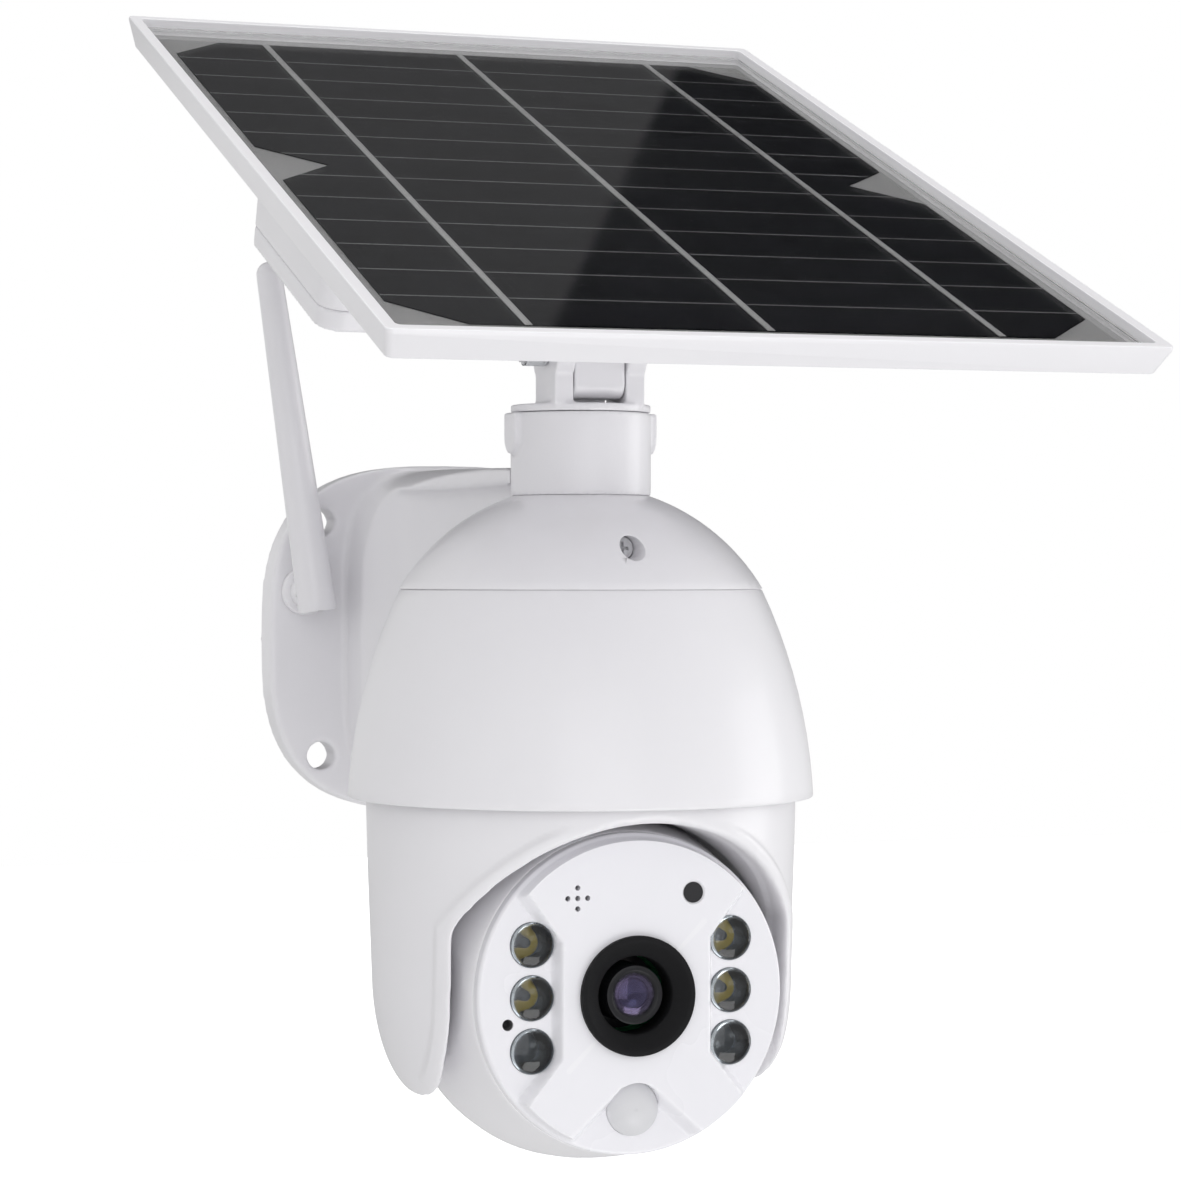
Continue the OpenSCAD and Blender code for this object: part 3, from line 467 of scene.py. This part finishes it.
# Panel frame: one white moulded tray with a narrow rim, a thin lip round its top and sides drawn in
# below it. The laminate lies in it. Its corners are barely rounded.
panel_place = Matrix.Translation(pivot["panel_tilt"]) @ Matrix.Rotation(math.radians(21.83), 4, "X")
panel_place = panel_place @ Matrix.Translation((0.0, 0.01085, 0.0))
half_x, half_y = 0.085, 0.12875
levels = [(-0.0016, -0.0032, 0.0331), (0.0, 0.0, 0.0391), (0.0, 0.0, 0.0402), (-0.0028, -0.0028, 0.0402),
          (-0.0028, -0.0028, 0.03468)]
tray = bmesh.new()
loops = []
for grow_x, grow_y, height in levels:
    corners = [(-1, -1), (1, -1), (1, 1), (-1, 1)]
    loops.append([tray.verts.new((x * (half_x + grow_x), y * (half_y + grow_y), height)) for x, y in corners])
for lower, upper in zip(loops, loops[1:]):
    for k in range(4):
        tray.faces.new((lower[k], lower[(k + 1) % 4], upper[(k + 1) % 4], upper[k]))
tray.faces.new(loops[0])
tray.faces.new(loops[-1])
bmesh.ops.recalc_face_normals(tray, faces=tray.faces)
uprights = [edge for edge in tray.edges if abs(edge.verts[0].co.z - edge.verts[1].co.z) > 0.0002
            and edge.verts[0].co.x * edge.verts[1].co.x > 0 and edge.verts[0].co.y * edge.verts[1].co.y > 0]
bmesh.ops.bevel(tray, geom=uprights, offset=0.0016, segments=4, profile=0.5, affect="EDGES", material=-1)
tray.transform(panel_place)
frame_piece = finish_piece("panel_frame_moulding", tray, "panel", white_shell, ["panel_frame"])
soften(frame_piece, 0.00028, 30.0, 2)

# Laminate: grey backing, thirteen dark silicon strips with mitred corners, and three tinned
# copper ribbons, all under one sheet of toughened glass.


def silicon(name):
    """Nearly black silicon with faint crystal tone and hair-fine silver fingers."""
    paint = bpy.data.materials.new(name)
    paint.use_nodes = True
    tree = paint.node_tree
    shader = tree.nodes["Principled BSDF"]
    spot = add(tree, "ShaderNodeTexCoord")
    fingers = add(tree, "ShaderNodeTexWave", {"bands_direction": "X"}, Vector=spot.outputs["Object"],
                  Scale=180.0)
    fine_line = add(tree, "ShaderNodeMapRange", Value=fingers.outputs["Fac"], From_Min=0.93, From_Max=1.0)
    crystal = add(tree, "ShaderNodeTexVoronoi", Vector=spot.outputs["Object"], Scale=70.0)
    tone = add(tree, "ShaderNodeMix", {"data_type": "RGBA"})
    tone.inputs["A"].default_value = (0.0065, 0.0068, 0.0085, 1.0)
    tone.inputs["B"].default_value = (0.009, 0.0094, 0.0118, 1.0)
    tree.links.new(crystal.outputs["Color"], tone.inputs["Factor"])
    silver = add(tree, "ShaderNodeMix", {"data_type": "RGBA"})
    silver.inputs["B"].default_value = (0.017, 0.017, 0.019, 1.0)
    tree.links.new(fine_line.outputs["Result"], silver.inputs["Factor"])
    tree.links.new(tone.outputs["Result"], silver.inputs["A"])
    tree.links.new(silver.outputs["Result"], shader.inputs["Base Color"])
    surface = place_group(tree, skin, Cloud_Size=60.0, Grain_Size=3000.0)
    rough = add(tree, "ShaderNodeMapRange", Value=surface.outputs["Tone"], To_Min=0.4, To_Max=0.6)
    tree.links.new(rough.outputs["Result"], shader.inputs["Roughness"])
    shader.inputs["Specular IOR Level"].default_value = 0.04
    bump = add(tree, "ShaderNodeBump", Strength=0.3, Distance=0.00001, Height=surface.outputs["Height"])
    tree.links.new(bump.outputs["Normal"], shader.inputs["Normal"])
    return paint


paint_node("solar_cells", silicon("silicon strips"))
backing = moulded_plastic("grey backing film", (0.34, 0.339, 0.34), (0.3, 0.299, 0.3), 0.5, dust=0.0,
                          shine=0.1)
paint_node("backsheet", backing)
paint_node("cell_busbars",
           plated_metal("tinned copper ribbon", (0.14, 0.14, 0.145), (0.11, 0.11, 0.115), 0.55))


def clear_pane(name, tint, rough, ior, cloud):
    """Clear glass or plastic that lets light through to what is behind it."""
    paint = bpy.data.materials.new(name)
    paint.use_nodes = True
    tree = paint.node_tree
    shader = tree.nodes["Principled BSDF"]
    shader.inputs["Transmission Weight"].default_value = 1.0
    shader.inputs["IOR"].default_value = ior
    surface = place_group(tree, skin, Cloud_Size=cloud, Grain_Size=900.0)
    tone = add(tree, "ShaderNodeMix", {"data_type": "RGBA"})
    tone.inputs["A"].default_value = (*tint, 1.0)
    tone.inputs["B"].default_value = (*[c * 0.97 for c in tint], 1.0)
    tree.links.new(surface.outputs["Tone"], tone.inputs["Factor"])
    tree.links.new(tone.outputs["Result"], shader.inputs["Base Color"])
    smear = add(tree, "ShaderNodeMapRange", Value=surface.outputs["Tone"], From_Min=0.4, From_Max=0.8,
                To_Min=rough, To_Max=rough + 0.04)
    tree.links.new(smear.outputs["Result"], shader.inputs["Roughness"])
    see_through = add(tree, "ShaderNodeBsdfTransparent")
    ray = add(tree, "ShaderNodeLightPath")
    choose = add(tree, "ShaderNodeMixShader")
    tree.links.new(ray.outputs["Is Shadow Ray"], choose.inputs[0])
    tree.links.new(shader.outputs["BSDF"], choose.inputs[1])
    tree.links.new(see_through.outputs["BSDF"], choose.inputs[2])
    tree.links.new(choose.outputs["Shader"], tree.nodes["Material Output"].inputs["Surface"])
    return paint


panel_glass = clear_pane("toughened panel glass", (0.95, 0.95, 0.95), 0.01, 1.5, 12.0)
glass = bmesh.new()
sheet = Matrix.Translation((0.0, 0.0, 0.036825)) @ Matrix.Diagonal((0.1642, 0.2517, 0.00265, 1.0))
bmesh.ops.create_cube(glass, size=1.0, matrix=panel_place @ sheet)
bmesh.ops.bevel(glass, geom=glass.edges[:], offset=0.00025, segments=2, profile=0.5, affect="EDGES",
                material=-1)
finish_piece("solar_front_glass", glass, "panel", panel_glass, ["solar_glass"], smooth=False)

# Gap strips: between the silicon strips the pale backing shows as hair-fine lines, which stop where
# the cut corners and the notches of the long sides begin.
gaps = bmesh.new()
half_cells = 0.07775
strip_pitch = 0.01775
corner_cut = 0.014
gap_width = 0.0006
gap_thickness = 0.00001
gap_height = 0.035303
for row in range(1, 13):
    along_row = (row - 6.5) * strip_pitch
    reach = half_cells - max(0.0, corner_cut - abs(along_row))
    line = (Matrix.Translation((0.0, along_row, gap_height))
            @ Matrix.Diagonal((2.0 * reach, gap_width, gap_thickness, 1.0)))
    bmesh.ops.create_cube(gaps, size=1.0, matrix=panel_place @ line)
gap_film = moulded_plastic("pale gap film", (0.2, 0.2, 0.205), (0.16, 0.16, 0.165), 0.6, dust=0.0, shine=0.1)
finish_piece("strip_gaps", gaps, "panel", gap_film, smooth=False)

# Yoke: the white fork that turns under the sun shield on the pan motor's shaft and carries the
# head between its arms. The arch over the head has a broad soft lip.
yoke = blended_piece("yoke_moulding", "yoke_shell", "yoke", white_shell, 0.0008, 36)
mast_y = pivot["head_pan"].y
for point in yoke.data.vertices:
    spot = point.co
    outward = Vector((spot.x, spot.y - mast_y, 0.0))
    if outward.length < 0.044 or outward.y > -0.012:
        continue
    edge = abs(spot.x) - 0.0395
    if spot.z > -0.0825:
        edge = max(edge, math.hypot(spot.x, spot.z + 0.0825) - 0.0443)
    lip = 1.0 - max(0.0, min(1.0, (edge - 0.003) / 0.0008))
    fade = max(0.0, min(1.0, (-0.0385 - spot.z) / 0.003)) * max(0.0, min(1.0, (spot.z + 0.101) / 0.008))
    point.co += outward.normalized() * (0.0008 * lip * fade)
paint_node("yoke_hub", plated_metal("cast hub", (0.6, 0.6, 0.61), (0.52, 0.52, 0.53), 0.4))
for steel_part in ("hub_screws", "pan_shaft", "tilt_shaft", "pivot_pin"):
    paint_node(steel_part, screw_steel)
paint_node("pivot_bushes", bearing_plastic)

# Head: a round white back shell with flat sides, closed by the face plate against a seal.
moulded_piece("head_shell_moulding", "head_shell", "head", white_shell, 0.0004)
paint_node("face_seal", black_rubber)
moulded_piece("card_cover_flap", "card_cover", "head", grey_rubber, 0.0002)
moulded_piece("reset_key", "reset_button", "reset", dark_plastic, 0.0002)

# Face plate: bright white, with a raised middle that slopes down to the light pockets on both
# sides and to the notch of the motion sensor below.
face_white = moulded_plastic("face plate plastic", (0.885, 0.88, 0.915), (0.86, 0.855, 0.892), 0.26,
                             dust=0.05, rub=0.2, coat=0.2)
face_place = Matrix.Translation(pivot["head_tilt"]) @ Matrix.Rotation(math.pi / 2, 4, "X")


def ease(value):
    value = max(0.0, min(1.0, value))
    return value * value * (3.0 - 2.0 * value)


pocket_edge = 0.0173


def pocket_depth(x, y):
    """1 on the floor of a pocket, 0 on the raised middle, and a soft slope between them."""
    side = min(abs(x) - pocket_edge, 0.798 * (abs(x) - pocket_edge) - 0.603 * (y - 0.0127),
               0.775 * (abs(x) - pocket_edge) + 0.632 * (y + 0.0137))
    notch = min(math.hypot(x, y) - 0.0203, 0.674 * (0.0038 - abs(x)) - 0.739 * (y + 0.0202))
    return max(ease(side / 0.0021), ease(notch / 0.0026))


def spun(outline, steps=96):
    """Turns an outline of (radius, forward) points about the forward axis into a closed solid."""
    made = bmesh.new()
    points = [made.verts.new((radius, 0.0, height)) for radius, height in outline]
    chain = [made.edges.new(pair) for pair in zip(points, points[1:])]
    bmesh.ops.spin(made, geom=points + chain, cent=(0, 0, 0), axis=(0, 0, 1), angle=2 * math.pi, steps=steps,
                   use_merge=True)
    bmesh.ops.remove_doubles(made, verts=made.verts, dist=0.0000005)
    bmesh.ops.recalc_face_normals(made, faces=made.faces)
    return made


face_radius = 0.0358
face_floor = 0.035
face_top = 0.0385
rings = 112
front_line = [(face_radius * k / rings, face_floor) for k in range(rings + 1)]
face = spun(front_line + [(0.0361, 0.0348), (0.03635, 0.0344), (0.0364, 0.0338), (0.0364, 0.0315),
                          (0.0, 0.0315)], 420)
for point in face.verts:
    if point.co.z > face_floor - 0.00001:
        rise = ease((0.0357 - point.co.xy.length) / 0.0009) * (1.0 - pocket_depth(point.co.x, point.co.y))
        point.co.z += (face_top - face_floor) * rise
face.transform(face_place)
holes = bmesh.new()


def drill(x, y, *steps):
    """Adds a hole whose radius follows steps of (radius, forward)."""
    outline = [(0.0, steps[0][1]), *steps, (0.0, steps[-1][1])]
    bit = spun(outline, 64)
    bit.transform(face_place @ Matrix.Translation((x, y, 0.0)))
    bit_mesh = bpy.data.meshes.new("bit")
    bit.to_mesh(bit_mesh)
    bit.free()
    holes.from_mesh(bit_mesh)
    bpy.data.meshes.remove(bit_mesh)


bit_back = 0.03
bit_front = 0.042
led_across = 0.02375
led_step = 0.0119
led_hole = 0.0052
bezel_seat = 0.037
bezel_bore = 0.011
bezel_hole = 0.01355
sensor_hole = 0.0062
window_hole = 0.00235
pinhole_x = -0.0294
pinhole_y = -0.0058
pinhole = 0.0013
voice_hole = 0.00062
voice_step = 0.00235
led_spots = [(side * led_across, step * led_step) for side in (-1, 1) for step in (1, 0, -1)]
for x, y in led_spots:
    drill(x, y, (led_hole, bit_back), (led_hole, bit_front))
drill(0.0, 0.0, (bezel_bore, bit_back), (bezel_bore, bezel_seat), (bezel_hole, bezel_seat),
      (bezel_hole, bit_front))
drill(0.0, -0.0258, (sensor_hole, bit_back), (sensor_hole, bit_front))
drill(0.0136, 0.0228, (window_hole, bit_back), (window_hole, 0.0381), (0.0063, bit_front))
drill(pinhole_x, pinhole_y, (pinhole, bit_back), (pinhole, bit_front))
for across, up in ((0, 0), (1, 0), (-1, 0), (0, 1), (0, -1)):
    drill(-0.0141 + across * voice_step, 0.0223 + up * voice_step, (voice_hole, bit_back),
          (voice_hole, bit_front))
hole_mesh = bpy.data.meshes.new("face holes")
holes.to_mesh(hole_mesh)
holes.free()
hole_tool = bpy.data.objects.new("face holes", hole_mesh)
bpy.context.scene.collection.objects.link(hole_tool)
face_piece = finish_piece("face_plate_moulding", face, "head", face_white, ["face_plate"])
cut = face_piece.modifiers.new("holes", "BOOLEAN")
cut.operation = "DIFFERENCE"
cut.solver = "MANIFOLD"
cut.object = hole_tool
drilled = bpy.data.meshes.new_from_object(face_piece.evaluated_get(bpy.context.evaluated_depsgraph_get()))
face_piece.modifiers.clear()
face_piece.data = drilled
drilled.set_sharp_from_angle(angle=math.radians(40))
bpy.data.objects.remove(hole_tool)
liner = spun([(0.0, 0.0302), (0.00122, 0.0302), (0.00122, 0.0345), (0.00105, 0.0345), (0.00105, 0.032),
              (0.0, 0.032)], 32)
liner.transform(face_place @ Matrix.Translation((pinhole_x, pinhole_y, 0.0)))
finish_piece("pinhole_liner", liner, "head", black_rubber)

# Lens: black bezel pressed into the face, turned barrel behind it, a coated front glass over the
# inner element, and black all round so that only the glass shines.
bezel_black = moulded_plastic("black bezel plastic", (0.0085, 0.0085, 0.0095), (0.011, 0.011, 0.012), 0.55,
                              dust=0.0, grain=3000.0, shine=0.12)
barrel_black = moulded_plastic("black anodised barrel", (0.007, 0.007, 0.009), (0.011, 0.011, 0.013), 0.3,
                               dust=0.0, shine=0.3)
moulded_piece("lens_bezel_ring", "lens_bezel", "head", bezel_black, 0.0003)
moulded_piece("lens_barrel_turned", "lens_barrel", "head", barrel_black, 0.00015)


def lens_with_painted_sheen(name, tint, body):
    """Dark glass whose base colour turns to a tinted painted sheen towards grazing angles, in place of the
    coating's reflection.
    """
    paint = bpy.data.materials.new(name)
    paint.use_nodes = True
    tree = paint.node_tree
    shader = tree.nodes["Principled BSDF"]
    surface = place_group(tree, skin, Cloud_Size=220.0, Grain_Size=900.0)
    # painted sheen: towards grazing angles the colour turns from the dark body to a dim coating tint, painted
    # in place of the coating's coloured reflection
    edge = add(tree, "ShaderNodeLayerWeight", Blend=0.35)
    tone = add(tree, "ShaderNodeMix", {"data_type": "RGBA"})
    tone.inputs["A"].default_value = (*body, 1.0)
    tone.inputs["B"].default_value = (*[c * 0.25 for c in tint], 1.0)
    tree.links.new(edge.outputs["Facing"], tone.inputs["Factor"])
    tree.links.new(tone.outputs["Result"], shader.inputs["Base Color"])
    smear = add(tree, "ShaderNodeMapRange", Value=surface.outputs["Tone"], To_Min=0.02, To_Max=0.07)
    tree.links.new(smear.outputs["Result"], shader.inputs["Roughness"])
    shader.inputs["IOR"].default_value = 1.6
    shader.inputs["Specular Tint"].default_value = (*tint, 1.0)
    shader.inputs["Transmission Weight"].default_value = 0.35
    return paint


lens_coat = lens_with_painted_sheen("coated lens glass", (0.34, 0.36, 0.6), (0.003, 0.004, 0.007))
inner = spun([(0.0, 0.033), (0.0035, 0.033)]
             + [(0.0064 * math.sin(math.radians(a)),
                 0.03 + 0.0064 * math.cos(math.radians(a))) for a in range(32, -1, -2)])
inner.transform(face_place)
finish_piece("lens_inner_element", inner, "head", lens_coat, ["lens_glass"])
back_curve = [(0.0051 * math.sin(math.radians(a)),
               0.0354 + 0.0013 * math.cos(math.radians(a))) for a in range(0, 85, 6)]
front_curve = [(0.0054 * math.sin(math.radians(a)),
                0.0359 + 0.0015 * math.cos(math.radians(a))) for a in range(84, -1, -6)]
dome = spun(back_curve + front_curve)
dome.transform(face_place)
clear_front = clear_pane("coated front glass", (0.8, 0.78, 0.95), 0.0, 1.5, 60.0)
clear_front.node_tree.nodes["Principled BSDF"].inputs["Specular Tint"].default_value = (0.75, 0.62, 1.0, 1.0)
finish_piece("lens_front_glass", dome, "head", clear_front)

# Lights: six clear domes, three on each side of the lens, each over a dark mirror cup. The upper
# four cups hold a round yellow phosphor die with a dark tip, the lowest two a dark infrared die.
cup_metal = plated_metal("smoked mirror cup", (0.06, 0.067, 0.08), (0.035, 0.04, 0.05), 0.16)


def repeated(shapes, name, paint, stands_for=()):
    """Joins shapes built about the face's centre into one piece on the head."""
    joined = bmesh.new()
    for built, x, y in shapes:
        built.transform(face_place @ Matrix.Translation((x, y, 0.0)))
        part = bpy.data.meshes.new("part")
        built.to_mesh(part)
        built.free()
        joined.from_mesh(part)
        bpy.data.meshes.remove(part)
    return finish_piece(name, joined, "head", paint, stands_for)


cup_line = [(0.0, 0.0296), (0.0050, 0.0296), (0.0051, 0.0346), (0.0047, 0.0346), (0.0043, 0.0336),
            (0.0041, 0.0329), (0.0036, 0.0328), (0.0034, 0.032), (0.0029, 0.0319), (0.0026, 0.0309),
            (0.0021, 0.0308), (0.0, 0.0305)]
repeated([(spun(cup_line, 48), x, y) for x, y in led_spots], "light_cups", cup_metal)
dome_line = [(0.0, 0.0347), (0.0050, 0.0347), (0.00515, 0.0349)]
dome_line += [(0.014 * math.sin(math.radians(a)),
               0.0222 + 0.014 * math.cos(math.radians(a))) for a in range(21, -1, -3)]
clear_dome = clear_pane("clear light dome", (0.56, 0.61, 0.65), 0.01, 1.49, 40.0)
repeated([(spun(dome_line, 64), x, y) for x, y in led_spots], "light_domes", clear_dome,
         ["led_lenses"])
yellow = moulded_plastic("yellow phosphor", (0.5, 0.34, 0.02), (0.38, 0.25, 0.015), 0.4, dust=0.0)
infrared = moulded_plastic("dark infrared die", (0.012, 0.015, 0.02), (0.02, 0.024, 0.03), 0.3, dust=0.0)
lowest_row = -0.01
bright_spots = [spot for spot in led_spots if spot[1] > lowest_row]
dark_spots = [spot for spot in led_spots if spot[1] < lowest_row]
die_line = [(0.0, 0.0304), (0.002, 0.0304), (0.0021, 0.0306), (0.0021, 0.0311), (0.0019, 0.0313),
            (0.0, 0.0313)]
tip_line = [(0.0, 0.0312), (0.0008, 0.0312), (0.0008, 0.0317), (0.0006, 0.0319), (0.0, 0.032)]
repeated([(spun(die_line, 32), x, y) for x, y in bright_spots], "light_dies", yellow,
         ["led_chips"])
repeated([(spun(tip_line, 24), x, y) for x, y in bright_spots], "light_tips", infrared)
repeated([(spun(die_line, 32), x, y) for x, y in dark_spots], "infrared_dies", infrared)

# Motion sensor dome, light window and speaker.
pir_plastic = moulded_plastic("milky sensor dome", (0.7, 0.7, 0.72), (0.66, 0.66, 0.68), 0.34, dust=0.05)
moulded_piece("motion_dome", "pir_dome", "head", pir_plastic, 0.0001)
smoked = moulded_plastic("smoked window", (0.012, 0.012, 0.014), (0.018, 0.018, 0.02), 0.12, dust=0.0,
                         depth=0.1)
paint_node("light_window", smoked)
paint_node("speaker", dark_plastic)

# Aerial: a white rod on a knuckle that turns on the socket at the plate, held by friction.
moulded_piece("antenna_socket_moulding", "antenna_socket", "base", white_shell, 0.0005)
moulded_piece("antenna_knuckle_moulding", "antenna_knuckle", "antenna", white_shell, 0.0005)
moulded_piece("antenna_whip_moulding", "antenna_whip", "antenna", white_shell, 0.0003)
